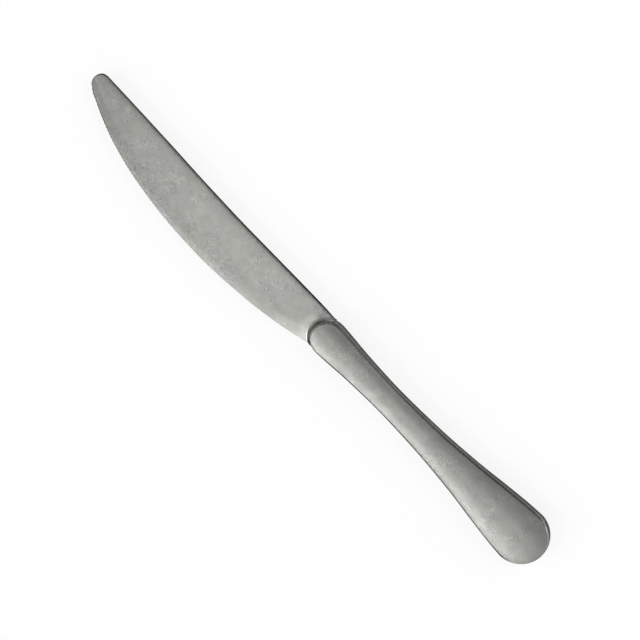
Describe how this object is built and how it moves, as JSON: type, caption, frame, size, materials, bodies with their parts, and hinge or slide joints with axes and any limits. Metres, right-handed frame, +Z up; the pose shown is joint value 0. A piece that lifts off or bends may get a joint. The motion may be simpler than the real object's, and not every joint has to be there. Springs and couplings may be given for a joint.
{
  "type": "table knife",
  "caption": "Steel table knife: slim blade with a rounded tip and a finely toothed, curved edge, in a waisted hollow handle with a curved mouth and a rounded butt.",
  "frame": {"origin": "under the middle of the knife's bounding box, on the surface that the knife lies on", "axes": "+X along the knife from the tip of the blade to the butt of the handle, +Y from the cutting edge to the spine, +Z up, through the thickness of the knife"},
  "size_m": [0.2352, 0.0244, 0.0065],
  "materials": {
    "blade_steel": "fine tumbled satin with small dings and scratches",
    "handle_steel": "fine tumbled satin",
    "filling": "matt cast cement",
    "braze": "ground flush and satin"
  },
  "bodies": {
    "root": {"blade": "blade_steel", "handle_shell_top": "handle_steel", "handle_shell_bottom": "handle_steel", "handle_filling": "filling", "seam_braze": "braze"}
  },
  "joints": []
}
